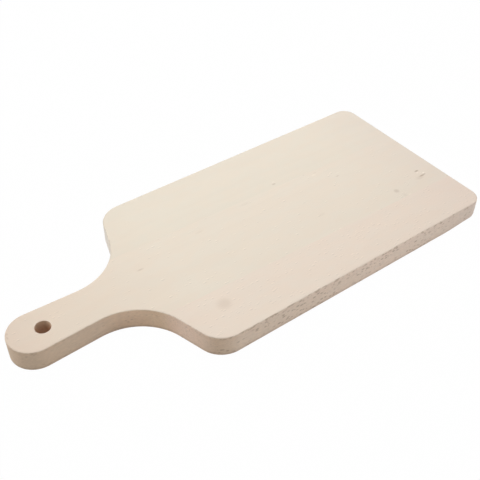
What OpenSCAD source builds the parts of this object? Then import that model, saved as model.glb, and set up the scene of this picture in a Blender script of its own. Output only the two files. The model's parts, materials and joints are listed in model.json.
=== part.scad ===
// Paddle charcuterie board, glued up edge to edge from three solid beech staves.
// The middle stave carries the whole handle and the hanging hole.
// X runs along the board with the handle towards -X, and Z is up. The origin is
// on the underside, halfway along the length and halfway across the width.
// Left and right are seen from above by someone who holds the handle: left is +Y.

/* [Board] */
// Overall length, from the tip of the handle to the far end
board_l = 400; // [340:1:560]
// Width of the body
board_w = 176; // [160:1:240]
// Thickness of the board
board_t = 19.5; // [14:0.5:30]
// Radius of the two corners at the far end
corner_r = 12.5; // [5:0.5:40]
// Radius that eases the top edge of the outline
top_edge_r = 1; // [0.5:0.25:4]
// Radius that eases the bottom edge of the outline
bottom_edge_r = 2; // [0.5:0.25:4]

/* [Handle] */
// Width across the round end of the handle
handle_w = 39.5; // [34:0.5:46]
// Distance from the tip of the handle to its narrowest place
neck_x = 65; // [55:0.5:90]
// Width of the handle at its narrowest place
neck_w = 36; // [30:0.5:40]

/* [Shoulders] */
// Radius of the hollow curve that runs from the neck to the shoulder
neck_r = 47; // [30:0.5:60]
// Radius of the round corner between the shoulder and the long side
shoulder_r = 22; // [10:0.5:32]
// Angle by which the short straight flank leans from square across the board
shoulder_lean = 17; // [5:1:30]

/* [Hanging hole] */
// Diameter of the hole
hole_d = 12; // [6:0.5:16]
// Distance from the tip of the handle to the centre of the hole
hole_x = 27.5; // [18:0.5:34]
// Radius that eases the rim of the hole, top and bottom
hole_edge_r = 0.5; // [0.25:0.25:2]

/* [Staves] */
// Width of the left stave, halfway along the board
left_stave_w = 57.5; // [45:0.5:62]
// Width of the right stave, halfway along the board
right_stave_w = 44; // [30:0.5:60]
// Angle of the two glue lines to the long axis, from sawing the blank askew
glue_line_turn = -1.4; // [-2.5:0.1:2.5]

/* [Hidden] */

// Colours of the staves
left_colour = [0.92, 0.89, 0.82];
handle_colour = [0.92, 0.87, 0.80];
right_colour = [0.90, 0.84, 0.77];

// Most degrees that one facet of an arc turns through, and facets of a quarter round
arc_step = 5;
easing_steps = 4;
$fn = 96;

// How far each cut runs past the wood
cut_over = 5;

// Ends of the board and radius of the handle's round end
tip_x = -board_l / 2;
end_x = board_l / 2;
handle_r = handle_w / 2;

// Places of the two glue lines, halfway along the board
left_joint_y = board_w / 2 - left_stave_w;
right_joint_y = right_stave_w - board_w / 2;

// The left side is a chain of four arcs, each joined to the next by a straight run
// that touches both: the grip, the flank of the shoulder and the long side.
// Centres of the handle's end and of the hollow neck, whose circle is outside the wood
handle_c = [tip_x + handle_r, 0];
neck_c = [tip_x + neck_x, neck_w / 2 + neck_r];

// Angle that the grip faces, square to the line that touches both of these circles
grip_span = neck_c - handle_c;
grip_a = atan2(grip_span.y, grip_span.x) + acos((handle_r + neck_r) / norm(grip_span));

// Angle that the flank faces, and the shoulder's centre, which puts its circle
// against both the flank and the long side
flank_a = 180 - shoulder_lean;
shoulder_y = board_w / 2 - shoulder_r;
shoulder_rise = (shoulder_y - neck_c.y) * sin(shoulder_lean);
shoulder_run = (neck_r + shoulder_r + shoulder_rise) / cos(shoulder_lean);
shoulder_c = [neck_c.x + shoulder_run, shoulder_y];

// Centre of the corner at the far end
corner_c = [end_x - corner_r, board_w / 2 - corner_r];

// Unit vector that points at an angle
function facing(a) = [cos(a), sin(a)];

// Points of an arc from angle a0 to angle a1, both ends included
function arc(c, r, a0, a1) =
  let (n = ceil(abs(a1 - a0) / arc_step))
  [for (i = [0:n]) c + r * facing(a0 + (a1 - a0) * i / n)];

// Left side of the outline from the handle's tip to the far end, drawn in by an inset
function left_side(inset) = concat(
  arc(handle_c, handle_r - inset, 180, grip_a),
  arc(neck_c, neck_r + inset, grip_a + 180, flank_a + 180),
  arc(shoulder_c, shoulder_r - inset, flank_a, 90),
  arc(corner_c, corner_r - inset, 90, 0)
);

// The same side mirrored, on the way back from the far end to just before the tip
function right_side(left) = [for (i = [len(left) - 1:-1:1]) [left[i].x, -left[i].y]];

// Closed outline, drawn in by an inset and laid at a height
function ring(inset, z) =
  let (left = left_side(inset))
  [for (p = concat(left, right_side(left))) [p.x, p.y, z]];

// How far an edge eased by radius r is drawn in, and how far it is from the face, at step i
function drawn_in(r, i) = r * (1 - sin(90 * i / easing_steps));
function off_face(r, i) = r * (1 - cos(90 * i / easing_steps));

// The whole board as if it were one piece: rings stacked from the underside to the
// top, each edge eased by a quarter round, and closed by strips that run from side to side
module eased_board() {
  rings = concat(
    [for (i = [0:easing_steps])
      ring(drawn_in(bottom_edge_r, i), off_face(bottom_edge_r, i))],
    [for (i = [easing_steps:-1:0])
      ring(drawn_in(top_edge_r, i), board_t - off_face(top_edge_r, i))]
  );
  side_count = len(left_side(0));
  count = len(rings[0]);
  top = (len(rings) - 1) * count;
  strips = [for (j = [1:side_count - 2]) [j, j + 1, count - j - 1, count - j]];
  face = concat([[0, 1, count - 1]], strips);
  wall = [
    for (k = [0:len(rings) - 2], j = [0:count - 1])
      let (a = k * count + j, b = k * count + (j + 1) % count)
      [a, b, b + count, a + count]
  ];
  underside = [for (f = face) [for (i = [len(f) - 1:-1:0]) f[i]]];
  upper_side = [for (f = face) [for (i = f) i + top]];
  polyhedron(
    points = [for (r = rings) each r],
    faces = concat(wall, underside, upper_side)
  );
}

// Wood that easing the rim of the hole takes off, its sharp corner at the origin
module rim_easing() {
  translate([hole_edge_r, -hole_edge_r]) difference() {
    translate([-hole_edge_r - cut_over, 0]) square(hole_edge_r + cut_over);
    circle(r = hole_edge_r);
  }
}

// The hanging hole: a bore through the handle with an eased rim at each face
module hanging_hole() {
  translate([tip_x + hole_x, 0, 0]) {
    translate([0, 0, -cut_over]) cylinder(d = hole_d, h = board_t + 2 * cut_over);
    translate([0, 0, board_t]) rotate_extrude() translate([hole_d / 2, 0]) rim_easing();
    mirror([0, 0, 1]) rotate_extrude() translate([hole_d / 2, 0]) rim_easing();
  }
}

// Part of the glued blank between two glue lines, at y0 and y1 halfway along
module blank(y0, y1) {
  rotate([0, 0, glue_line_turn]) translate([-board_l, y0, -cut_over])
    cube([2 * board_l, y1 - y0, board_t + 2 * cut_over]);
}

module left_stave() {
  color(left_colour) intersection() {
    eased_board();
    blank(left_joint_y, board_w);
  }
}

module handle_stave() {
  color(handle_colour) difference() {
    intersection() {
      eased_board();
      blank(right_joint_y, left_joint_y);
    }
    hanging_hole();
  }
}

module right_stave() {
  color(right_colour) intersection() {
    eased_board();
    blank(-board_w, right_joint_y);
  }
}

left_stave();
handle_stave();
right_stave();
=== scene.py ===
"""Paddle charcuterie board of solid beech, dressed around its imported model.

The board is glued up edge to edge from three staves. Each stave is grown by one Geometry Nodes
tree from the board's outline, and has its own beech material. Lengths are in metres, unless a name
or a comment says mm. X runs from the handle to the far end, Y to the left of someone who holds the
handle, and Z up.
"""

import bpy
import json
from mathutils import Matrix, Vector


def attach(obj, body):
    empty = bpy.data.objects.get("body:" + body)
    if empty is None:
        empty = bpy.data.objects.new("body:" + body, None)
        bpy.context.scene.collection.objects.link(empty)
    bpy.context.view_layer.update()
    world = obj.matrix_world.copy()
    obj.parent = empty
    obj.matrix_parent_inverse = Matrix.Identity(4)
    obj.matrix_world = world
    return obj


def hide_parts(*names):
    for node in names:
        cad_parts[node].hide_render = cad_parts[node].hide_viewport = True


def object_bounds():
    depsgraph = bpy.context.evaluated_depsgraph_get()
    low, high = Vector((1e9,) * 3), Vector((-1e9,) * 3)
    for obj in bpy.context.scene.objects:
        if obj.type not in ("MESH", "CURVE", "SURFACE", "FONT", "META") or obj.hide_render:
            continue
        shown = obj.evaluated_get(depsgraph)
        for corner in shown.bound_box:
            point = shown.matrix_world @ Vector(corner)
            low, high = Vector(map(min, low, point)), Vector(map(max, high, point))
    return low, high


bl_info = {
    "name": "Paddle Charcuterie Board",
    "version": (1, 0, 0),
    "blender": (4, 5, 0),
    "location": "View3D > Sidebar > Board",
    "description": "Builds a paddle-shaped serving board of three beech staves and lights it",
    "category": "Add Mesh",
}

import json
import math
from typing import NamedTuple

import bpy
from bpy.props import FloatProperty, FloatVectorProperty, PointerProperty
from bpy.types import Operator, Panel, PropertyGroup
from mathutils import Matrix, Vector

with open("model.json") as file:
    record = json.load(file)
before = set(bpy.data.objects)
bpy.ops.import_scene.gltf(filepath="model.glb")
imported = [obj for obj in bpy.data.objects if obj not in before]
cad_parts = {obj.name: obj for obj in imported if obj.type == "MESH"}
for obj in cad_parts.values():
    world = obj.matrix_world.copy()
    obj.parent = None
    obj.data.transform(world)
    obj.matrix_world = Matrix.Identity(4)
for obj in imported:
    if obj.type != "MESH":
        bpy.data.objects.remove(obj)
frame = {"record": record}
cad_low, cad_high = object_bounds()

MM = 0.001

hole_mount = next(m for m in frame["record"]["mounts"] if m["name"] == "hanging_hole")


class BoardSizes(PropertyGroup):
    """Real sizes of the board. The CAD model has all but the worn corner and the hand easing."""

    length: FloatProperty(
        name="Length",
        description="From the tip of the handle to the far end",
        default=cad_high.x - cad_low.x,
        unit="LENGTH",
    )
    width: FloatProperty(
        name="Width",
        description="Width of the body",
        default=cad_high.y - cad_low.y,
        unit="LENGTH",
    )
    thickness: FloatProperty(
        name="Thickness",
        description="Thickness of the board",
        default=cad_high.z - cad_low.z,
        unit="LENGTH",
    )
    corner_radius: FloatProperty(
        name="Corner Radius",
        description="Radius of the two corners at the far end",
        default=12.5 * MM,
        unit="LENGTH",
    )
    top_edge_radius: FloatProperty(
        name="Top Edge Radius",
        description="Radius that eases the top edge",
        default=1 * MM,
        unit="LENGTH",
    )
    bottom_edge_radius: FloatProperty(
        name="Bottom Edge Radius",
        description="Radius that eases the bottom edge",
        default=2 * MM,
        unit="LENGTH",
    )
    worn_corner_radius: FloatProperty(
        name="Worn Corner Radius",
        description="Radius of the bottom edge at the far right corner, which is sanded rounder",
        default=4.8 * MM,
        unit="LENGTH",
    )
    handle_width: FloatProperty(
        name="Handle Width",
        description="Width across the round end of the handle",
        default=39.5 * MM,
        unit="LENGTH",
    )
    neck_distance: FloatProperty(
        name="Neck Distance",
        description="From the tip of the handle to its narrowest place",
        default=65 * MM,
        unit="LENGTH",
    )
    neck_width: FloatProperty(
        name="Neck Width",
        description="Width of the handle at its narrowest place",
        default=36 * MM,
        unit="LENGTH",
    )
    neck_radius: FloatProperty(
        name="Neck Radius",
        description="Radius of the hollow curve from the neck to the shoulder",
        default=47 * MM,
        unit="LENGTH",
    )
    shoulder_radius: FloatProperty(
        name="Shoulder Radius",
        description="Radius of the round corner between shoulder and long side",
        default=22 * MM,
        unit="LENGTH",
    )
    shoulder_lean: FloatProperty(
        name="Shoulder Lean",
        description="Angle of the straight flank from square across the board",
        default=math.radians(17),
        subtype="ANGLE",
    )
    hole_diameter: FloatProperty(
        name="Hole Diameter",
        description="Diameter of the hanging hole",
        default=2 * hole_mount["dims"]["r_mm"] * MM,
        unit="LENGTH",
    )
    hole_place: FloatProperty(
        name="Hole Place",
        description="Where the hole's centre is along the board",
        default=hole_mount["pos_m"][0],
        unit="LENGTH",
    )
    hole_edge_radius: FloatProperty(
        name="Hole Edge Radius",
        description="Radius that eases the rim of the hole",
        default=0.5 * MM,
        unit="LENGTH",
    )
    left_stave_width: FloatProperty(
        name="Left Stave Width",
        description="Width of the left stave, halfway along",
        default=57.5 * MM,
        unit="LENGTH",
    )
    right_stave_width: FloatProperty(
        name="Right Stave Width",
        description="Width of the right stave, halfway along",
        default=44 * MM,
        unit="LENGTH",
    )
    glue_line_turn: FloatProperty(
        name="Glue Line Turn",
        description="Angle of the glue lines, and of the grain, to the long axis",
        default=math.radians(-1.4),
        subtype="ANGLE",
    )
    hand_easing: FloatProperty(
        name="Hand Easing",
        description="How unevenly the edges are sanded, at most",
        default=0.12 * MM,
        unit="LENGTH",
    )


class BeechLook(PropertyGroup):
    """Colours of the wood, as seen in white light, and the sizes of its figure."""

    left_colour: FloatVectorProperty(
        name="Left Stave",
        description="The palest and least red stave",
        default=(0.805, 0.724, 0.599),
        subtype="COLOR",
    )
    handle_colour: FloatVectorProperty(
        name="Handle Stave",
        description="Cream heart of the board",
        default=(0.818, 0.726, 0.602),
        subtype="COLOR",
    )
    right_colour: FloatVectorProperty(
        name="Right Stave",
        description="The pinkest stave",
        default=(0.832, 0.715, 0.598),
        subtype="COLOR",
    )
    # Ray brown, which also colours the painted shade at the nicks and at the foot of the walls
    ray_colour: FloatVectorProperty(
        name="Rays",
        description="Brown of the rays, the small marks and the end grain",
        default=(0.36, 0.23, 0.14),
        subtype="COLOR",
    )
    ring_width: FloatProperty(
        name="Ring Width",
        description="From one growth ring to the next",
        default=3.4 * MM,
        unit="LENGTH",
    )
    ray_length: FloatProperty(
        name="Ray Length",
        description="Spacing of the ray flecks along the grain",
        default=4.2 * MM,
        unit="LENGTH",
    )
    ray_width: FloatProperty(
        name="Ray Width",
        description="Spacing of the ray flecks from side to side",
        default=1.9 * MM,
        unit="LENGTH",
    )
    ray_depth: FloatProperty(
        name="Ray Depth",
        description="Spacing of the ray flecks through the thickness of the board",
        default=2.2 * MM,
        unit="LENGTH",
    )
    roughness: FloatProperty(
        name="Roughness",
        description="Roughness of the sanded faces",
        default=0.55,
        min=0,
        max=1,
    )


class StudioLight(PropertyGroup):
    """Power of each lamp, in watts."""

    overhead: FloatProperty(
        name="Overhead",
        description="Straight above the board",
        default=4.8,
        unit="POWER",
    )
    far_overhead: FloatProperty(
        name="Far Overhead",
        description="Above the far long side",
        default=3.7,
        unit="POWER",
    )
    far_side: FloatProperty(
        name="Far Side",
        description="Low, behind the far corner",
        default=3.4,
        unit="POWER",
    )
    handle_side: FloatProperty(
        name="Handle Side",
        description="Low, off the end of the handle",
        default=2.9,
        unit="POWER",
    )
    near_side: FloatProperty(
        name="Near Side",
        description="Low, off the near long side",
        default=1.2,
        unit="POWER",
    )
    near_low: FloatProperty(
        name="Near Low",
        description="Close to the floor, off the near long side",
        default=3.3,
        unit="POWER",
    )


# Outline

# Most that one step turns along an arc, and about how long one is along a straight run
ARC_STEP = math.radians(2.5)
RUN_STEP = 4 * MM


def facing(angle):
    """Unit vector in the plane of the board that points at an angle."""
    return Vector((math.cos(angle), math.sin(angle)))


def arc(centre, radius, start, end):
    """Points of an arc, both ends included."""
    steps = math.ceil(abs(end - start) / ARC_STEP)
    return [centre + radius * facing(start + (end - start) * i / steps) for i in range(steps + 1)]


def joined_by_runs(arcs):
    """The arcs as one line of points, with straight runs between them."""
    points = list(arcs[0])
    for following in arcs[1:]:
        start = points[-1]
        run = following[0] - start
        steps = max(1, round(run.length / RUN_STEP))
        points += [start + run * i / steps for i in range(1, steps)]
        points += following
    return points


def left_side(sizes, inset):
    """The outline's left side from the handle's tip to the far end, drawn in by an inset.

    Four arcs, each joined to the next by a straight run that touches both: the grip,
    the flank of the shoulder and the long side. The neck's circle is outside the wood.
    """
    tip_x = -sizes.length / 2
    handle_radius = sizes.handle_width / 2
    handle_centre = Vector((tip_x + handle_radius, 0))
    neck_centre = Vector((tip_x + sizes.neck_distance, sizes.neck_width / 2 + sizes.neck_radius))
    span = neck_centre - handle_centre
    span_angle = math.atan2(span.y, span.x)
    grip_angle = span_angle + math.acos((handle_radius + sizes.neck_radius) / span.length)

    flank_angle = math.pi - sizes.shoulder_lean
    shoulder_y = sizes.width / 2 - sizes.shoulder_radius
    rise = (shoulder_y - neck_centre.y) * math.sin(sizes.shoulder_lean)
    run = (sizes.neck_radius + sizes.shoulder_radius + rise) / math.cos(sizes.shoulder_lean)
    shoulder_centre = Vector((neck_centre.x + run, shoulder_y))

    corner = sizes.corner_radius
    corner_centre = Vector((sizes.length / 2 - corner, sizes.width / 2 - corner))
    quarter = math.pi / 2
    return joined_by_runs([
        arc(handle_centre, handle_radius - inset, math.pi, grip_angle),
        arc(neck_centre, sizes.neck_radius + inset, grip_angle + math.pi, flank_angle + math.pi),
        arc(shoulder_centre, sizes.shoulder_radius - inset, flank_angle, quarter),
        arc(corner_centre, corner - inset, quarter, 0),
    ])


def outline_mesh(sizes, inset):
    """The whole outline, drawn in by an inset, as a closed ring of edges on the underside."""
    left = left_side(sizes, inset)
    right = [Vector((p.x, -p.y)) for p in reversed(left)]
    far_end = joined_by_runs([left, right[:1]])[len(left):-1]
    points = left + far_end + right[:-1]
    points.reverse()
    mesh = bpy.data.meshes.new("board_outline")
    count = len(points)
    edges = [(i, (i + 1) % count) for i in range(count)]
    mesh.from_pydata([(p.x, p.y, 0) for p in points], edges, [])
    return mesh


# Node helpers

COLUMN_WIDTH = 220
ROW_HEIGHT = 240

# Factors that leave out the height of a place or direction, and its part along the board
LEVEL = (1, 1, 0)
CROSSWISE = (0, 1, 1)


def add_node(tree, kind, inputs=None, **settings):
    """Adds a node, sets its properties, then its inputs: each a value or a socket to wire in."""
    node = tree.nodes.new(kind)
    for name, value in settings.items():
        setattr(node, name, value)
    for name, value in (inputs or {}).items():
        if isinstance(value, bpy.types.NodeSocket):
            tree.links.new(value, node.inputs[name])
        else:
            node.inputs[name].default_value = value
    return node


def math_node(tree, operation, *values, clamp=False):
    """A Math node's result. Each value is a number or a socket."""
    node = add_node(
        tree, "ShaderNodeMath", dict(enumerate(values)), operation=operation, use_clamp=clamp
    )
    return node.outputs[0]


def product(tree, *factors):
    """Several numbers multiplied together, each a value or a socket."""
    result = factors[0]
    for factor in factors[1:]:
        result = math_node(tree, "MULTIPLY", result, factor)
    return result


def between(tree, share, first, second):
    """A share of the way from one number to another."""
    return math_node(tree, "MULTIPLY_ADD", share, second - first, first)


def soft_step(tree, value, start, end):
    """0 where the value is at start, 1 where it is at end, eased in between."""
    node = add_node(
        tree,
        "ShaderNodeMapRange",
        {"Value": value, "From Min": start, "From Max": end},
        interpolation_type="SMOOTHSTEP",
    )
    return node.outputs["Result"]


def vector_math(tree, operation, *values):
    """A Vector Math node's result vector. Each value is a vector or a socket."""
    node = add_node(tree, "ShaderNodeVectorMath", dict(enumerate(values)), operation=operation)
    return node.outputs[0]


def scaled(tree, vector, factor):
    """A vector times a number."""
    node = add_node(tree, "ShaderNodeVectorMath", {0: vector, "Scale": factor}, operation="SCALE")
    return node.outputs[0]


def parts(tree, vector):
    """The X, Y and Z of a vector, each a socket."""
    return add_node(tree, "ShaderNodeSeparateXYZ", {0: vector}).outputs


def length_of(tree, vector):
    """The length of a vector, as a socket."""
    return add_node(tree, "ShaderNodeVectorMath", {0: vector}, operation="LENGTH").outputs["Value"]


def lay_out(tree):
    """Sets the nodes out in columns, each to the right of the nodes that feed it."""
    depth = {node: 0 for node in tree.nodes}
    for _ in tree.nodes:
        for link in tree.links:
            depth[link.to_node] = max(depth[link.to_node], depth[link.from_node] + 1)
    rows = {}
    for node in tree.nodes:
        column = depth[node]
        rows[column] = rows.get(column, 0) + 1
        node.location = (COLUMN_WIDTH * column, -ROW_HEIGHT * rows[column])


# Stave geometry

# Points round each eased edge and round the hanging hole
EDGE_STEPS = 8
HOLE_POINTS = 72

# Of a section's corners, 0 and 1 are at the bottom, and 2 and 3 at the top
MIDDLE_CORNER = 1.5

# Points closer together than this are joined
MERGE_DISTANCE = 0.001 * MM

# An edge that turns by more than this angle is crisp, and a face is flat that points up or down
# by more than this share
CRISP_ANGLE = math.radians(30)
FLAT_FACE = 0.99999

# Distance over which sanding by hand varies, and how many finer waves it has
EASING_WAVE = 25 * MM
EASING_DETAIL = 2.0

# How far round the corner its rounder bottom edge is whole, and how far away it ends
WORN_CORE = 10 * MM
WORN_REACH = 45 * MM

STAVE_TREE = "Glued-up Stave"
STAVE_INPUTS = (
    ("Thickness", "NodeSocketFloat"),
    ("Top Edge Radius", "NodeSocketFloat"),
    ("Bottom Edge Radius", "NodeSocketFloat"),
    ("Worn Corner Radius", "NodeSocketFloat"),
    ("Worn Corner", "NodeSocketVector"),
    ("Hole Radius", "NodeSocketFloat"),
    ("Hole Edge Radius", "NodeSocketFloat"),
    ("Hole Centre", "NodeSocketVector"),
    ("Glue Line Turn", "NodeSocketFloat"),
    ("Blank Centre", "NodeSocketVector"),
    ("Blank Size", "NodeSocketVector"),
    ("Hand Easing", "NodeSocketFloat"),
    ("Wood", "NodeSocketMaterial"),
)


def eased_section(tree, top_radius, bottom_radius, thickness, inward):
    """Section of a wall with two eased edges, open towards the wood.

    It reaches out by the larger radius. Its Y axis points down once it follows a line.
    """
    reach = math_node(tree, "MAXIMUM", top_radius, bottom_radius)
    side = math_node(tree, "MULTIPLY", reach, -1.0 if inward else 1.0)
    top = math_node(tree, "MULTIPLY", thickness, -1.0)
    corners = [
        add_node(tree, "ShaderNodeCombineXYZ", {"X": x, "Y": y}).outputs[0]
        for x, y in ((0.0, 0.0), (side, 0.0), (side, top), (0.0, top))
    ]
    names = ("Point 1", "Point 2", "Point 3", "Point 4")
    square = add_node(
        tree, "GeometryNodeCurvePrimitiveQuadrilateral", dict(zip(names, corners)), mode="POINTS"
    )
    opened = add_node(
        tree, "GeometryNodeSetSplineCyclic", {"Geometry": square.outputs[0], "Cyclic": False}
    )
    corner = add_node(tree, "GeometryNodeInputIndex").outputs[0]
    at_top = math_node(tree, "GREATER_THAN", corner, MIDDLE_CORNER)
    difference = math_node(tree, "SUBTRACT", top_radius, bottom_radius)
    radius = math_node(tree, "MULTIPLY_ADD", at_top, difference, bottom_radius)
    rounded = add_node(
        tree,
        "GeometryNodeFilletCurve",
        {"Curve": opened.outputs[0], "Count": EDGE_STEPS, "Radius": radius},
        mode="POLY",
    )
    return rounded.outputs[0]


def uncut_board(tree, given):
    """The whole board as if it were one piece: eased wall, two faces and the hanging hole."""
    outline = add_node(tree, "GeometryNodeMeshToCurve", {"Mesh": given["Geometry"]}).outputs[0]
    thickness = given["Thickness"]
    section = eased_section(
        tree, given["Top Edge Radius"], given["Bottom Edge Radius"], thickness, inward=False
    )
    wall = add_node(tree, "GeometryNodeCurveToMesh", {"Curve": outline, "Profile Curve": section})

    rim_easing = given["Hole Edge Radius"]
    rim_radius = math_node(tree, "ADD", given["Hole Radius"], rim_easing)
    circle = add_node(
        tree, "GeometryNodeCurvePrimitiveCircle", {"Resolution": HOLE_POINTS, "Radius": rim_radius}
    )
    rim = add_node(tree, "GeometryNodeTransform", {
        "Geometry": circle.outputs[0], "Translation": given["Hole Centre"],
    }).outputs[0]
    bore_section = eased_section(tree, rim_easing, rim_easing, thickness, inward=True)
    bore = add_node(tree, "GeometryNodeCurveToMesh", {"Curve": rim, "Profile Curve": bore_section})

    both = add_node(tree, "GeometryNodeJoinGeometry")
    tree.links.new(outline, both.inputs[0])
    tree.links.new(rim, both.inputs[0])
    face = add_node(tree, "GeometryNodeFillCurve", {"Curve": both.outputs[0]}, mode="NGONS")
    lift = add_node(tree, "ShaderNodeCombineXYZ", {"Z": thickness})
    serving_face = add_node(tree, "GeometryNodeTransform", {
        "Geometry": face.outputs[0], "Translation": lift.outputs[0],
    })
    turned_wall = add_node(tree, "GeometryNodeFlipFaces", {"Mesh": wall.outputs[0]})
    underside = add_node(tree, "GeometryNodeFlipFaces", {"Mesh": face.outputs[0]})
    shell = add_node(tree, "GeometryNodeJoinGeometry")
    for part in (turned_wall, bore, serving_face, underside):
        tree.links.new(part.outputs[0], shell.inputs[0])
    closed = add_node(tree, "GeometryNodeMergeByDistance", {
        "Geometry": shell.outputs[0], "Distance": MERGE_DISTANCE,
    })
    return closed.outputs[0]


def with_worn_corner(tree, board, given):
    """Eases the bottom edge by a larger radius at one corner, and less and less beside it."""
    place = add_node(tree, "GeometryNodeInputPosition").outputs[0]
    height = parts(tree, place)["Z"]
    radius = given["Bottom Edge Radius"]
    from_corner = vector_math(tree, "SUBTRACT", place, given["Worn Corner"])
    distance = length_of(tree, vector_math(tree, "MULTIPLY", from_corner, LEVEL))
    near = soft_step(tree, distance, WORN_REACH, WORN_CORE)
    easing_top = math_node(tree, "ADD", radius, MERGE_DISTANCE)
    in_easing = math_node(tree, "LESS_THAN", height, easing_top)
    ratio = math_node(tree, "DIVIDE", given["Worn Corner Radius"], radius)
    growth = product(tree, math_node(tree, "SUBTRACT", ratio, 1.0), near, in_easing)

    to_top = math_node(tree, "SUBTRACT", radius, height)
    square = math_node(
        tree, "SUBTRACT", product(tree, radius, radius), product(tree, to_top, to_top)
    )
    drawn_in = math_node(tree, "SUBTRACT", radius, math_node(tree, "SQRT", square))
    normal = add_node(tree, "GeometryNodeInputNormal").outputs[0]
    outward = vector_math(tree, "NORMALIZE", vector_math(tree, "MULTIPLY", normal, LEVEL))
    aside = scaled(tree, outward, product(tree, drawn_in, growth, -1.0))
    rise = add_node(tree, "ShaderNodeCombineXYZ", {"Z": product(tree, height, growth)})
    offset = vector_math(tree, "ADD", aside, rise.outputs[0])
    moved = add_node(tree, "GeometryNodeSetPosition", {"Geometry": board, "Offset": offset})
    return moved.outputs[0]


def share_upright(tree, normal):
    """How squarely a face looks up or down, from 0 to 1."""
    return math_node(tree, "ABSOLUTE", parts(tree, normal)["Z"])


def sanded_by_hand(tree, board, amount):
    """Draws the walls and eased edges in a little, unevenly. The two faces stay flat."""
    normal = add_node(tree, "GeometryNodeInputNormal").outputs[0]
    share = math_node(tree, "SUBTRACT", 1.0, share_upright(tree, normal))
    noise = add_node(tree, "ShaderNodeTexNoise", {
        "Scale": 1 / EASING_WAVE, "Detail": EASING_DETAIL,
    })
    offset = scaled(tree, normal, product(tree, noise.outputs[0], share, amount, -1.0))
    moved = add_node(tree, "GeometryNodeSetPosition", {"Geometry": board, "Offset": offset})
    return moved.outputs[0]


def cut_to_stave(tree, board, given):
    """Keeps the part of the board that lies in one turned blank, between two glue lines."""
    cube = add_node(tree, "GeometryNodeMeshCube", {"Size": given["Blank Size"]})
    turn = add_node(tree, "ShaderNodeCombineXYZ", {"Z": given["Glue Line Turn"]})
    placed = add_node(tree, "GeometryNodeTransform", {
        "Geometry": cube.outputs[0], "Translation": given["Blank Centre"],
    })
    turned = add_node(tree, "GeometryNodeTransform", {
        "Geometry": placed.outputs[0], "Rotation": turn.outputs[0],
    })
    cut = add_node(tree, "GeometryNodeMeshBoolean", operation="INTERSECT", solver="EXACT")
    tree.links.new(board, cut.inputs["Mesh 2"])
    tree.links.new(turned.outputs[0], cut.inputs["Mesh 2"])
    return cut.outputs[0]


def shaded(tree, stave):
    """Smooth walls, with crisp edges at the glue faces and flat serving face and underside."""
    smooth = add_node(tree, "GeometryNodeSetShadeSmooth", {
        "Geometry": stave, "Shade Smooth": True,
    })
    angle = add_node(tree, "GeometryNodeInputMeshEdgeAngle").outputs[0]
    sharp = math_node(tree, "GREATER_THAN", angle, CRISP_ANGLE)
    crisp = add_node(
        tree,
        "GeometryNodeSetShadeSmooth",
        {"Geometry": smooth.outputs[0], "Selection": sharp, "Shade Smooth": False},
        domain="EDGE",
    )
    normal = add_node(tree, "GeometryNodeInputNormal").outputs[0]
    level = math_node(tree, "GREATER_THAN", share_upright(tree, normal), FLAT_FACE)
    flat = add_node(tree, "GeometryNodeSetShadeSmooth", {
        "Geometry": crisp.outputs[0], "Selection": level, "Shade Smooth": False,
    })
    return flat.outputs[0]


def stave_tree():
    """The Geometry Nodes tree that grows one stave from the board's outline."""
    if STAVE_TREE in bpy.data.node_groups:
        return bpy.data.node_groups[STAVE_TREE]
    tree = bpy.data.node_groups.new(STAVE_TREE, "GeometryNodeTree")
    for socket, kind in (("Geometry", "NodeSocketGeometry"), *STAVE_INPUTS):
        tree.interface.new_socket(socket, in_out="INPUT", socket_type=kind)
    tree.interface.new_socket("Geometry", in_out="OUTPUT", socket_type="NodeSocketGeometry")
    given = tree.nodes.new("NodeGroupInput").outputs
    board = uncut_board(tree, given)
    board = with_worn_corner(tree, board, given)
    board = sanded_by_hand(tree, board, given["Hand Easing"])
    stave = cut_to_stave(tree, board, given)
    stave = shaded(tree, stave)
    real = add_node(tree, "GeometryNodeRealizeInstances", {"Geometry": stave})
    finished = add_node(tree, "GeometryNodeSetMaterial", {
        "Geometry": real.outputs[0], "Material": given["Wood"],
    })
    result = tree.nodes.new("NodeGroupOutput")
    tree.links.new(finished.outputs[0], result.inputs[0])
    lay_out(tree)
    return tree


def set_inputs(modifier, values):
    """Sets a Geometry Nodes modifier's inputs by the identifiers of their named sockets."""
    for item in modifier.node_group.interface.items_tree:
        if item.in_out == "INPUT" and item.name in values:
            modifier[item.identifier] = values[item.name]


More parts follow.
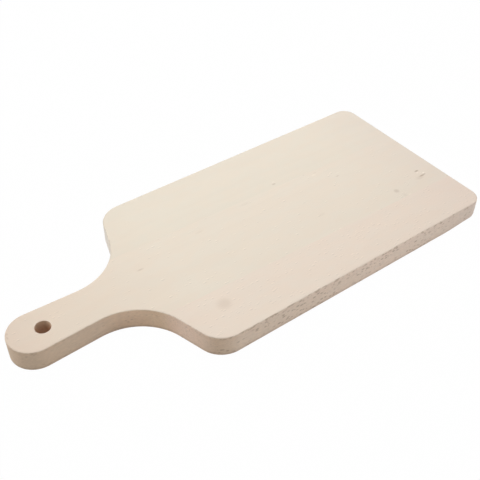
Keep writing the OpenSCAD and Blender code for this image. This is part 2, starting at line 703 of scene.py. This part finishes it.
def make_stave(name, sizes, blank_low, blank_high, wood):
    """One stave between two glue lines, as a plain mesh. The lines' places are halfway along.

    Its blank is longer and thicker than the board, so that only the glue lines cut the wood.
    """
    inset = max(sizes.top_edge_radius, sizes.bottom_edge_radius)
    outline = bpy.data.objects.new(name + "_outline", outline_mesh(sizes, inset))
    bpy.context.scene.collection.objects.link(outline)
    modifier = outline.modifiers.new(STAVE_TREE, "NODES")
    modifier.node_group = stave_tree()
    set_inputs(modifier, {
        "Thickness": sizes.thickness,
        "Top Edge Radius": sizes.top_edge_radius,
        "Bottom Edge Radius": sizes.bottom_edge_radius,
        "Worn Corner Radius": sizes.worn_corner_radius,
        "Worn Corner": (sizes.length / 2, -sizes.width / 2, 0.0),
        "Hole Radius": sizes.hole_diameter / 2,
        "Hole Edge Radius": sizes.hole_edge_radius,
        "Hole Centre": (sizes.hole_place, 0.0, 0.0),
        "Glue Line Turn": sizes.glue_line_turn,
        "Blank Centre": (0.0, (blank_low + blank_high) / 2, sizes.thickness / 2),
        "Blank Size": (2 * sizes.length, blank_high - blank_low, 2 * sizes.thickness),
        "Hand Easing": sizes.hand_easing,
        "Wood": wood,
    })
    evaluated = outline.evaluated_get(bpy.context.evaluated_depsgraph_get())
    mesh = bpy.data.meshes.new_from_object(evaluated)
    mesh.name = name
    outline.modifiers.remove(modifier)
    bpy.data.objects.remove(outline)
    stave = bpy.data.objects.new(name, mesh)
    bpy.context.scene.collection.objects.link(stave)
    return stave


def glue_lines(sizes):
    """Where the right and the left glue line are, halfway along the board."""
    half = sizes.width / 2
    return sizes.right_stave_width - half, half - sizes.left_stave_width


def fit_stave(stave, node):
    """Puts a finished stave in the place of its CAD node."""
    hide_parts(node)
    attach(stave, "root")


# Patterns, whose places are in mm

def cloud(tree, place, size, detail=2.0):
    """Noise between 0 and 1, which takes about the given distances to change."""
    stretched = vector_math(tree, "DIVIDE", place, size)
    noise = add_node(tree, "ShaderNodeTexNoise", {
        "Vector": stretched, "Scale": 1.0, "Detail": detail,
    })
    return noise.outputs[0]


def swing(tree, value, amount):
    """1 plus or minus an amount, for a value that lies between 0 and 1."""
    offset = math_node(tree, "SUBTRACT", value, 0.5)
    return math_node(tree, "MULTIPLY_ADD", offset, 2 * amount, 1.0)


def blend(tree, share, first, second):
    """A share of the way from one colour to another. A share below 0 goes the other way."""
    node = add_node(
        tree,
        "ShaderNodeMix",
        {0: share, 6: first, 7: second},
        data_type="RGBA",
        clamp_factor=False,
    )
    return node.outputs[2]


def tint(tree, colour, factor):
    """A colour times a factor, which is a number or another colour."""
    return vector_math(tree, "MULTIPLY", colour, factor)


# Beech

# Tint of the serving face and of the walls at places along the board, in mm from its middle.
# The handle is browner. The wall tints are partly the wood's own tone and partly painted light
# and shade: the walls of the handle and of the far end are painted darker, the right walls are
# painted lighter on the shoulder's flank and darker at the corner beside it, and the flank of the
# left shoulder carries a pale painted sheen, as if lit from its side.
FACE_TINTS = (
    (-200, (0.91, 0.84, 0.82)),
    (-165, (0.96, 0.915, 0.895)),
    (-110, (0.98, 0.955, 0.945)),
    (-60, (1.0, 1.0, 1.0)),
    (140, (1.003, 0.995, 1.0)),
    (200, (0.983, 0.963, 0.985)),
)
RIGHT_WALL_TINTS_AND_LIGHT = (
    (-200, (0.85, 0.725, 0.625)),
    (-186, (0.835, 0.715, 0.62)),
    (-140, (0.86, 0.745, 0.665)),
    (-112, (1.07, 0.88, 0.75)),
    (-98, (1.03, 0.86, 0.72)),
    (-88, (1.10, 0.98, 0.93)),
    (-78, (0.90, 0.79, 0.68)),
    (-58, (0.955, 0.895, 0.845)),
    (70, (1.00, 0.94, 0.92)),
    (150, (0.92, 0.88, 0.87)),
    (200, (0.82, 0.78, 0.79)),
)
LEFT_WALL_TINTS_AND_LIGHT = (
    (-200, (0.85, 0.725, 0.625)),
    (-150, (0.88, 0.78, 0.71)),
    (-115, (1.0, 0.97, 0.94)),
    (-98, (1.15, 1.17, 1.24)),
    (-76, (1.15, 1.17, 1.24)),
    (-50, (1.02, 1.0, 0.99)),
    (150, (0.98, 0.96, 0.95)),
    (200, (0.84, 0.80, 0.81)),
)

# How far the normal points up or down where a surface begins to count as a wall, and where it
# is wholly one. The same for end grain, by how far the normal points along the board.
WALL_TURN = (0.8, 0.25)
END_TURN = (0.4, 0.95)

# Places across the board, in mm, between which the left walls' tints take over
LEFT_SIDE = (0, 20)

# Distances in mm over which each pattern changes: along the grain, across it and in depth
RING_WAVER_SIZE = (150, 50, 50)
FIBRE_SIZE = (50, 0.9, 0.9)
VESSEL_SIZE = (5, 0.25, 0.25)
PATCH_SIZE = (60, 22, 22)
WARMTH_SIZE = (17, 9, 9)
MOTTLE_SIZE = (3, 1.8, 1.5)
CLUSTER_SIZE = (20, 14, 10)
CHIP_SIZE = (5, 3, 3)

# Levels of its noise between which a pattern goes from nothing to whole
WARMTH_LEVELS = (0.35, 0.65)
CLUSTER_LEVELS = (0.34, 0.54)
CHIP_LEVELS = (0.53, 0.62)

# How strongly each pattern shades the wood. Only the walls are mottled.
FIBRE_SHADE = 0.012
PATCH_SHADE = 0.012
MOTTLE_SHADE = 0.13
WARM_TINT = (1.006, 0.995, 0.989, 1)
COOL_TINT = (0.996, 1.001, 1.004, 1)

# Growth rings: how far they waver in mm, where in a ring the late wood starts and is darkest,
# and how dark it is
RING_WAVER = 9.0
LATE_WOOD = (0.3, 0.95)
RING_SHADE = 0.012

# Ray flecks: how far one reaches from its middle, at least and at most, as a share of their
# spacing, the part of that which doesn't fade, how fast a fleck comes in as its chance grows,
# and how much of it end grain keeps
FLECK_LEAST = 0.2
FLECK_MOST = 0.6
FLECK_CORE = 0.4
FLECK_ONSET = 8.0
END_FLECKS = 0.3

# Painted light on one lip of each fleck and painted shade on the other, for the rays that stand
# a little proud after sanding
FACE_LIP_LIGHT_AND_SHADE = 0.34
WALL_LIP_LIGHT_AND_SHADE = 0.25

# Painted shade of small nicks in the upper edge, which the mesh doesn't have: depths in mm and
# turns of the normal between which it sets in, as for a wall, and how much of it end grain keeps
CHIP_DEPTHS = (2.6, 1.8)
CHIP_TURN = (0.95, 0.75)
END_NICK_SHADE = 0.15

# Painted shade at the foot of the walls, next to the floor: heights in mm and turns of the normal
# between which it sets in
FOOT_HEIGHTS = (4.6, 2.4)
FOOT_TURN = (0.95, 0.8)
FOOT_SHADE = 0.22

# Share of a mark's size that doesn't fade, and how deep in mm a mark goes
MARK_CORE = 0.2
MARK_DEPTH = 1

# Wall of the hanging hole: distances in mm from its rim between which it sets in, depths in mm
# over which painted shade deepens down the hole, and the tints there, lighter at the top and
# darker below. One side of it carries painted light, by a share.
DRILL_RIM = (0.2, -0.3)
HOLE_SHADE_DEPTHS = (1, 10)
HOLE_TOP_LIGHT = (1.08, 1.11, 1.16, 1)
HOLE_LOW_SHADE = (0.79, 0.65, 0.56, 1)
HOLE_LIT_SIDE = (0.8, -0.6, 0)
HOLE_SIDE_LIGHT = 0.35

# Finish: what vessels and end grain add to the roughness, the height of vessels and flecks
# beside that of the fibres, and the height of the whole relief in mm
VESSEL_ROUGHNESS = 0.12
END_ROUGHNESS = 0.12
VESSEL_HEIGHT = 0.5
FLECK_HEIGHT = -0.6
BUMP_HEIGHT = 0.03


class StaveCut(NamedTuple):
    """How a stave was cut from its log, in mm, with its flecks and painted shade at its top edge.

    The shift gives the stave a part of the figure to itself, and its rings have their middle at
    the pith. The shares say how many of the flecks show on its faces and its walls.
    """

    shift: tuple
    pith_side: float
    pith_depth: float
    face_share: float
    face_darkness: float
    wall_share: float
    wall_darkness: float
    arris_nick_shade: float


LEFT_CUT = StaveCut(
    shift=(310, 140, 55),
    pith_side=75,
    pith_depth=-70,
    face_share=0.04,
    face_darkness=0.01,
    wall_share=0.6,
    wall_darkness=0.3,
    arris_nick_shade=0.45,
)
HANDLE_CUT = StaveCut(
    shift=(-120, 420, 20),
    pith_side=-18,
    pith_depth=-95,
    face_share=0.3,
    face_darkness=0.0,
    wall_share=0.7,
    wall_darkness=0.3,
    arris_nick_shade=0.2,
)
RIGHT_CUT = StaveCut(
    shift=(640, -230, 90),
    pith_side=-70,
    pith_depth=-60,
    face_share=0.7,
    face_darkness=0.01,
    wall_share=1.0,
    wall_darkness=0.55,
    arris_nick_shade=0.45,
)


class Mark(NamedTuple):
    """A small oval mark on the serving face, with its place and half sizes in mm.

    A darkness below 0 makes it paler than the wood.
    """

    along: float
    across: float
    half_length: float
    half_width: float
    darkness: float


# The marks that stand out on each stave
LEFT_MARKS = (
    Mark(64.5, 33.2, 2.8, 1.4, 0.32),
    Mark(65.9, 36.0, 2.0, 1.0, -0.12),
)
HANDLE_MARKS = (
    Mark(118.0, 9.2, 2.6, 1.1, 0.22),
    Mark(180.8, -26.9, 3.2, 1.3, 0.65),
    Mark(179.7, -29.2, 1.8, 1.0, -0.25),
    Mark(180.4, -34.4, 4.6, 1.3, 0.6),
    Mark(184.0, -34.0, 1.6, 1.0, 0.3),
    Mark(184.2, -32.1, 1.6, 1.0, -0.4),
    Mark(181.6, -30.9, 1.4, 0.9, -0.15),
    Mark(176.5, -35.6, 6.0, 3.2, 0.14),
    Mark(145.6, -37.0, 3.6, 3.6, 0.27),
    Mark(104.5, 24.6, 2.2, 1.0, 0.12),
    Mark(101.6, 22.8, 3.0, 1.1, -0.14),
    Mark(121.4, 12.7, 3.0, 0.9, -0.08),
    Mark(147.8, -45.5, 2.6, 2.6, 0.10),
    Mark(71.9, -22.9, 5.0, 2.4, 0.06),
    Mark(27.6, 26.0, 7.0, 2.2, 0.06),
    Mark(-85.9, 9.4, 4.2, 1.3, 0.26),
    Mark(-24.0, 19.0, 5.5, 1.6, 0.07),
    Mark(-196.2, 8.5, 1.2, 1.7, 0.22),
    Mark(-197.4, 5.0, 0.9, 2.2, 0.26),
)
RIGHT_MARKS = (Mark(-54.2, -57.8, 8.4, 7.8, 0.165),)


class Spot(NamedTuple):
    """Sockets for where a point of the wood is, in mm, and which way its surface faces.

    grain is the place set along the grain, and own_grain is the same in the stave's own log.
    """

    place: bpy.types.NodeSocket
    grain: bpy.types.NodeSocket
    own_grain: bpy.types.NodeSocket
    along: bpy.types.NodeSocket
    across: bpy.types.NodeSocket
    height: bpy.types.NodeSocket
    upright: bpy.types.NodeSocket
    wall: bpy.types.NodeSocket
    end_grain: bpy.types.NodeSocket


def spot_in_wood(tree, cut, grain_turn):
    """The spot that is being shaded, from the object's own coordinates."""
    coordinates = add_node(tree, "ShaderNodeTexCoord").outputs
    place = add_node(tree, "ShaderNodeMapping", {
        "Vector": coordinates["Object"], "Scale": (1 / MM, 1 / MM, 1 / MM),
    }).outputs[0]
    grain = add_node(tree, "ShaderNodeMapping", {
        "Vector": place, "Rotation": (0, 0, -grain_turn),
    }).outputs[0]
    axes = parts(tree, place)
    normal = parts(tree, vector_math(tree, "ABSOLUTE", coordinates["Normal"]))
    return Spot(
        place=place,
        grain=grain,
        own_grain=vector_math(tree, "ADD", grain, cut.shift),
        along=axes["X"],
        across=axes["Y"],
        height=axes["Z"],
        upright=normal["Z"],
        wall=soft_step(tree, normal["Z"], *WALL_TURN),
        end_grain=soft_step(tree, normal["X"], *END_TURN),
    )


def tint_along(tree, along, length, tints):
    """A tint that changes along the board, from a list of places and tints."""
    share = math_node(tree, "MULTIPLY_ADD", along, MM / length, 0.5)
    ramp = add_node(tree, "ShaderNodeValToRGB", {0: share})
    stops = ramp.color_ramp.elements
    while len(stops) < len(tints):
        stops.new(0.5)
    for stop, (place, colour) in zip(stops, tints):
        stop.position = place * MM / length + 0.5
        stop.color = (*colour, 1)
    return ramp.outputs["Color"]


def figured_wood(tree, spot, colour, length, fibres):
    """The stave's colour with the tints of faces and walls, its warmth, patches and fibres.

    The wall tints hold painted light and shade as well as the wood's own tone.
    """
    # Wall tints: the wood's own tone together with painted light and shade
    wall_tint_and_light = blend(
        tree,
        soft_step(tree, spot.across, *LEFT_SIDE),
        tint_along(tree, spot.along, length, RIGHT_WALL_TINTS_AND_LIGHT),
        tint_along(tree, spot.along, length, LEFT_WALL_TINTS_AND_LIGHT),
    )
    face_tint = tint_along(tree, spot.along, length, FACE_TINTS)
    warmth = cloud(tree, spot.own_grain, WARMTH_SIZE, detail=1.0)
    warm = soft_step(tree, warmth, *WARMTH_LEVELS)
    wood_colour = tuple(colour)
    for factor in (
        blend(tree, spot.wall, face_tint, wall_tint_and_light),
        blend(tree, warm, COOL_TINT, WARM_TINT),
        swing(tree, cloud(tree, spot.own_grain, PATCH_SIZE), PATCH_SHADE),
        swing(tree, fibres, FIBRE_SHADE),
    ):
        wood_colour = tint(tree, wood_colour, factor)
    mottle = swing(tree, cloud(tree, spot.own_grain, MOTTLE_SIZE), MOTTLE_SHADE)
    return blend(tree, spot.wall, wood_colour, tint(tree, wood_colour, mottle))


def growth_rings(tree, grain, cut, ring_width):
    """0 in the pale early wood, rising to 1 in the narrow late wood of each ring."""
    pith = (0, cut.pith_side, cut.pith_depth)
    offset = vector_math(tree, "SUBTRACT", grain, pith)
    distance = length_of(tree, vector_math(tree, "MULTIPLY", offset, CROSSWISE))
    waver = product(tree, cloud(tree, grain, RING_WAVER_SIZE), RING_WAVER)
    rings = math_node(tree, "DIVIDE", math_node(tree, "ADD", distance, waver), ring_width / MM)
    in_ring = math_node(tree, "FRACT", rings)
    start, darkest = LATE_WOOD
    rise = soft_step(tree, in_ring, start, darkest)
    fall = soft_step(tree, in_ring, 1.0, darkest)
    return product(tree, rise, fall)


def ray_flecks(tree, spot, cut, look):
    """The rays, as spindles along the grain, in clusters.

    Gives how far into a fleck a place is, from 0 to 1, and on which side of it, from -1 to 1.
    """
    spacing = (look.ray_length / MM, look.ray_width / MM, look.ray_depth / MM)
    spaced = vector_math(tree, "DIVIDE", spot.own_grain, spacing)
    cells = add_node(tree, "ShaderNodeTexVoronoi", {"Vector": spaced, "Scale": 1.0}).outputs
    chance = add_node(tree, "ShaderNodeSeparateColor", {0: cells["Color"]}).outputs
    share = between(tree, spot.wall, cut.face_share, cut.wall_share)
    rarity = math_node(tree, "SUBTRACT", 1.0, share)
    excess = math_node(tree, "SUBTRACT", chance["Green"], rarity)
    present = math_node(tree, "MULTIPLY", excess, FLECK_ONSET, clamp=True)
    reach = between(tree, chance["Red"], FLECK_LEAST, FLECK_MOST)
    lens = soft_step(tree, cells["Distance"], reach, product(tree, reach, FLECK_CORE))
    clusters = cloud(tree, spot.own_grain, CLUSTER_SIZE, detail=1.0)
    in_cluster = soft_step(tree, clusters, *CLUSTER_LEVELS)
    kept = between(tree, spot.end_grain, 1.0, END_FLECKS)
    fleck = product(tree, lens, present, in_cluster, kept)

    offset = parts(tree, vector_math(tree, "SUBTRACT", spaced, cells["Position"]))
    turn = math_node(tree, "SUBTRACT", offset["Z"], offset["Y"])
    side = math_node(tree, "MULTIPLY_ADD", turn, spot.wall, offset["Y"])
    return fleck, math_node(tree, "DIVIDE", side, reach)


def painted_nick_shade(tree, spot, cut, thickness):
    """How dark the painted shade of the nicks in the upper edge is."""
    top = thickness / MM
    start, end = CHIP_DEPTHS
    # Painted shade for nicks that the mesh doesn't have
    near_top = soft_step(tree, spot.height, top - start, top - end)
    on_edge = soft_step(tree, spot.upright, *CHIP_TURN)
    chips = soft_step(tree, cloud(tree, spot.own_grain, CHIP_SIZE), *CHIP_LEVELS)
    nick_shade_share = between(tree, spot.end_grain, cut.arris_nick_shade, END_NICK_SHADE * cut.arris_nick_shade)
    return product(tree, near_top, on_edge, chips, nick_shade_share)


def painted_foot_shade(tree, spot):
    """How dark the painted shade at the foot of the walls is."""
    near_floor = soft_step(tree, spot.height, *FOOT_HEIGHTS)
    on_wall = soft_step(tree, spot.upright, *FOOT_TURN)
    return product(tree, near_floor, on_wall, FOOT_SHADE)


def oval_mark(tree, place, thickness, mark):
    """The mark's darkness in its middle, fading to 0 at its outline."""
    offset = vector_math(tree, "SUBTRACT", place, (mark.along, mark.across, thickness / MM))
    half_sizes = (mark.half_length, mark.half_width, MARK_DEPTH)
    share = length_of(tree, vector_math(tree, "DIVIDE", offset, half_sizes))
    return product(tree, soft_step(tree, share, 1.0, MARK_CORE), mark.darkness)


def hole_light_and_shade(tree, spot, sizes, wood_colour):
    """Painted shade down the wall of the hanging hole, and painted light on one side of it."""
    offset = vector_math(tree, "SUBTRACT", spot.place, (sizes.hole_place / MM, 0, 0))
    from_axis = length_of(tree, vector_math(tree, "MULTIPLY", offset, LEVEL))
    rim = (sizes.hole_diameter / 2 + sizes.hole_edge_radius) / MM
    outside, inside = DRILL_RIM
    in_hole = soft_step(tree, from_axis, rim + outside, rim + inside)
    top = sizes.thickness / MM
    start, end = HOLE_SHADE_DEPTHS
    depth = soft_step(tree, spot.height, top - start, top - end)
    depth_shade = blend(tree, depth, HOLE_TOP_LIGHT, HOLE_LOW_SHADE)
    aside = add_node(
        tree, "ShaderNodeVectorMath", {0: offset, 1: HOLE_LIT_SIDE}, operation="DOT_PRODUCT"
    ).outputs["Value"]
    share = math_node(tree, "DIVIDE", aside, rim, clamp=True)
    paler = between(tree, share, 1.0, 1.0 + HOLE_SIDE_LIGHT)
    shaded_hole = tint(tree, tint(tree, wood_colour, depth_shade), paler)
    return blend(tree, in_hole, wood_colour, shaded_hole)


def beech(name, colour, cut, marks, sizes, look):
    """Bare, finely sanded beech, with its figure in the block, so that it runs round each edge."""
    wood = bpy.data.materials.new(name)
    wood.use_nodes = True
    tree = wood.node_tree
    shader = tree.nodes["Principled BSDF"]

    spot = spot_in_wood(tree, cut, sizes.glue_line_turn)
    fibres = cloud(tree, spot.own_grain, FIBRE_SIZE, detail=3.0)
    vessels = cloud(tree, spot.own_grain, VESSEL_SIZE, detail=1.0)
    fleck, side = ray_flecks(tree, spot, cut, look)

    wood_colour = figured_wood(tree, spot, colour, sizes.length, fibres)
    # Painted light on one side of each fleck and painted shade on the other
    lip_light_and_shade = product(tree, fleck, between(tree, spot.wall, FACE_LIP_LIGHT_AND_SHADE, WALL_LIP_LIGHT_AND_SHADE))
    wood_colour = tint(tree, wood_colour, math_node(tree, "MULTIPLY_ADD", lip_light_and_shade, side, 1.0))
    # Brown of the rays and marks, and also of the painted shade at the nicks and the foot of the
    # walls
    brown_and_shade = (*look.ray_colour, 1)
    for amount in (
        product(tree, growth_rings(tree, spot.grain, cut, look.ring_width), RING_SHADE),
        painted_nick_shade(tree, spot, cut, sizes.thickness),
        painted_foot_shade(tree, spot),
        product(tree, fleck, between(tree, spot.wall, cut.face_darkness, cut.wall_darkness)),
        *(oval_mark(tree, spot.place, sizes.thickness, mark) for mark in marks),
    ):
        wood_colour = blend(tree, amount, wood_colour, brown_and_shade)
    # Painted shade down the hanging hole and painted light on one side of it
    wood_colour = hole_light_and_shade(tree, spot, sizes, wood_colour)
    tree.links.new(wood_colour, shader.inputs["Base Color"])

    sanded = look.roughness - VESSEL_ROUGHNESS / 2
    rough = math_node(tree, "MULTIPLY_ADD", vessels, VESSEL_ROUGHNESS, sanded)
    rough = math_node(tree, "MULTIPLY_ADD", spot.end_grain, END_ROUGHNESS, rough)
    tree.links.new(rough, shader.inputs["Roughness"])
    relief = math_node(tree, "MULTIPLY_ADD", vessels, VESSEL_HEIGHT, fibres)
    relief = math_node(tree, "MULTIPLY_ADD", fleck, FLECK_HEIGHT, relief)
    bump = add_node(tree, "ShaderNodeBump", {"Height": relief, "Distance": BUMP_HEIGHT * MM})
    tree.links.new(bump.outputs[0], shader.inputs["Normal"])
    lay_out(tree)
    return wood


# Operators

class BOARD_OT_left_stave(Operator):
    """Make the left stave, with the left shoulder and one far corner"""

    bl_idname = "paddle_board.left_stave"
    bl_label = "Left Stave"

    def execute(self, context):
        sizes = context.scene.board_sizes
        look = context.scene.beech_look
        wood = beech("Beech left stave", look.left_colour, LEFT_CUT, LEFT_MARKS, sizes, look)
        stave = make_stave("left_stave_wood", sizes, glue_lines(sizes)[1], sizes.width, wood)
        fit_stave(stave, "left_stave")
        return {"FINISHED"}


class BOARD_OT_handle_stave(Operator):
    """Make the middle stave, which carries the handle and the hanging hole"""

    bl_idname = "paddle_board.handle_stave"
    bl_label = "Handle Stave"

    def execute(self, context):
        sizes = context.scene.board_sizes
        look = context.scene.beech_look
        wood = beech(
            "Beech handle stave", look.handle_colour, HANDLE_CUT, HANDLE_MARKS, sizes, look
        )
        stave = make_stave("handle_stave_wood", sizes, *glue_lines(sizes), wood)
        fit_stave(stave, "handle_stave")
        return {"FINISHED"}


class BOARD_OT_right_stave(Operator):
    """Make the right stave, with the right shoulder and the other far corner"""

    bl_idname = "paddle_board.right_stave"
    bl_label = "Right Stave"

    def execute(self, context):
        sizes = context.scene.board_sizes
        look = context.scene.beech_look
        wood = beech("Beech right stave", look.right_colour, RIGHT_CUT, RIGHT_MARKS, sizes, look)
        stave = make_stave("right_stave_wood", sizes, -sizes.width, glue_lines(sizes)[0], wood)
        fit_stave(stave, "right_stave")
        return {"FINISHED"}


# Studio

CAMERA_TARGET = Vector((3.38, 0.33, 9.75)) * MM
CAMERA_DISTANCE = 629.66 * MM
CAMERA_AZIMUTH = math.radians(36.96)
CAMERA_ELEVATION = math.radians(42.226)
CAMERA_ROLL = math.radians(0.7464)
CAMERA_LENS_MM = 57.062
SENSOR_MM = 36

# The floor lies a hair below the board, and lights it as grey paint does. To the camera, this
# share of the floor is a white glow.
FLOOR_SIZE = 4.0
FLOOR_DROP = 0.05 * MM
FLOOR_GLOW = 0.99
FLOOR_GREY = (0.8, 0.8, 0.8, 1)
WHITE = (1, 1, 1, 1)


def make_camera():
    """The photograph's camera: it looks down at the board from beside the handle."""
    data = bpy.data.cameras.new("Camera")
    data.lens = CAMERA_LENS_MM
    data.sensor_width = SENSOR_MM
    camera = bpy.data.objects.new("Camera", data)
    bpy.context.scene.collection.objects.link(camera)
    back = Vector((
        -math.sin(CAMERA_AZIMUTH) * math.cos(CAMERA_ELEVATION),
        -math.cos(CAMERA_AZIMUTH) * math.cos(CAMERA_ELEVATION),
        math.sin(CAMERA_ELEVATION),
    ))
    look = (-back).to_track_quat("-Z", "Y").to_matrix().to_4x4()
    roll = Matrix.Rotation(CAMERA_ROLL, 4, "Z")
    place = Matrix.Translation(CAMERA_TARGET + CAMERA_DISTANCE * back)
    camera.matrix_world = place @ look @ roll
    bpy.context.scene.camera = camera


def seen_directly(tree):
    """1 for rays from the camera, or ones that a glossy or clear surface sends on."""
    path = add_node(tree, "ShaderNodeLightPath").outputs
    shiny = math_node(tree, "MAXIMUM", path["Is Glossy Ray"], path["Is Transmission Ray"])
    return math_node(tree, "MAXIMUM", path["Is Camera Ray"], shiny)


def studio_floor():
    """A floor that is seen as plain white, with no more than a trace of the board's shadow."""
    paint = bpy.data.materials.new("White floor")
    paint.use_nodes = True
    tree = paint.node_tree
    tree.nodes.clear()
    matt = add_node(tree, "ShaderNodeBsdfDiffuse", {"Color": FLOOR_GREY})
    glow = add_node(tree, "ShaderNodeEmission", {"Color": WHITE, "Strength": 1.0})
    share = math_node(tree, "MULTIPLY", seen_directly(tree), FLOOR_GLOW)
    mixed = add_node(
        tree, "ShaderNodeMixShader", {0: share, 1: matt.outputs[0], 2: glow.outputs[0]}
    )
    add_node(tree, "ShaderNodeOutputMaterial", {"Surface": mixed.outputs[0]})
    lay_out(tree)
    half = FLOOR_SIZE / 2
    mesh = bpy.data.meshes.new("studio_floor")
    outline = ((-half, -half), (half, -half), (half, half), (-half, half))
    corners = [(x, y, -FLOOR_DROP) for x, y in outline]
    mesh.from_pydata(corners, [], [(0, 1, 2, 3)])
    mesh.materials.append(paint)
    floor = bpy.data.objects.new("studio_floor", mesh)
    bpy.context.scene.collection.objects.link(floor)


def studio_air():
    """The world: seen as plain white, while the lamps alone light the board."""
    world = bpy.data.worlds.new("Studio")
    bpy.context.scene.world = world
    world.use_nodes = True
    tree = world.node_tree
    background = tree.nodes["Background"]
    background.inputs["Color"].default_value = WHITE
    tree.links.new(seen_directly(tree), background.inputs["Strength"])
    lay_out(tree)


def soft_box(name, place, size, power):
    """A large square lamp that faces the board."""
    data = bpy.data.lights.new(name, "AREA")
    data.size = size
    data.energy = power
    lamp = bpy.data.objects.new(name, data)
    aim = (-Vector(place)).to_track_quat("-Z", "Y").to_matrix().to_4x4()
    lamp.matrix_world = Matrix.Translation(place) @ aim
    bpy.context.scene.collection.objects.link(lamp)


class BOARD_OT_studio(Operator):
    """Set the board on a white floor, with soft light and a camera"""

    bl_idname = "paddle_board.studio"
    bl_label = "Studio"

    def execute(self, context):
        light = context.scene.studio_light
        make_camera()
        studio_floor()
        studio_air()
        soft_box("Overhead", (0, 0, 1), 1, light.overhead)
        soft_box("Far overhead", (-0.1, 0.5, 0.9), 0.8, light.far_overhead)
        soft_box("Far side", (0.55, 0.75, 0.5), 0.8, light.far_side)
        soft_box("Handle side", (-1, 0.15, 0.45), 0.7, light.handle_side)
        soft_box("Near side", (0.55, -0.95, 0.45), 0.7, light.near_side)
        soft_box("Near low", (0.7, -0.9, 0.2), 0.4, light.near_low)
        context.scene.view_settings.view_transform = "Standard"
        return {"FINISHED"}


class VIEW3D_PT_paddle_board(Panel):
    """Sizes, colours and light of the board, and the buttons that make it"""

    bl_label = "Paddle Board"
    bl_space_type = "VIEW_3D"
    bl_region_type = "UI"
    bl_category = "Board"

    def draw(self, context):
        scene = context.scene
        layout = self.layout
        for group in (scene.board_sizes, scene.beech_look, scene.studio_light):
            box = layout.box()
            for name in group.__annotations__:
                box.prop(group, name)
        for operator in OPERATORS:
            layout.operator(operator.bl_idname)


OPERATORS = (
    BOARD_OT_left_stave,
    BOARD_OT_handle_stave,
    BOARD_OT_right_stave,
    BOARD_OT_studio,
)
CLASSES = (BoardSizes, BeechLook, StudioLight, *OPERATORS, VIEW3D_PT_paddle_board)


def register():
    """Adds the properties, the operators and the panel."""
    for cls in CLASSES:
        bpy.utils.register_class(cls)
    bpy.types.Scene.board_sizes = PointerProperty(type=BoardSizes)
    bpy.types.Scene.beech_look = PointerProperty(type=BeechLook)
    bpy.types.Scene.studio_light = PointerProperty(type=StudioLight)


def unregister():
    """Takes away what register added."""
    del bpy.types.Scene.studio_light
    del bpy.types.Scene.beech_look
    del bpy.types.Scene.board_sizes
    for cls in reversed(CLASSES):
        bpy.utils.unregister_class(cls)


def main():
    """Makes the staves and the studio."""
    register()
    bpy.ops.paddle_board.left_stave()
    bpy.ops.paddle_board.handle_stave()
    bpy.ops.paddle_board.right_stave()
    bpy.ops.paddle_board.studio()


if __name__ == "__main__":
    main()
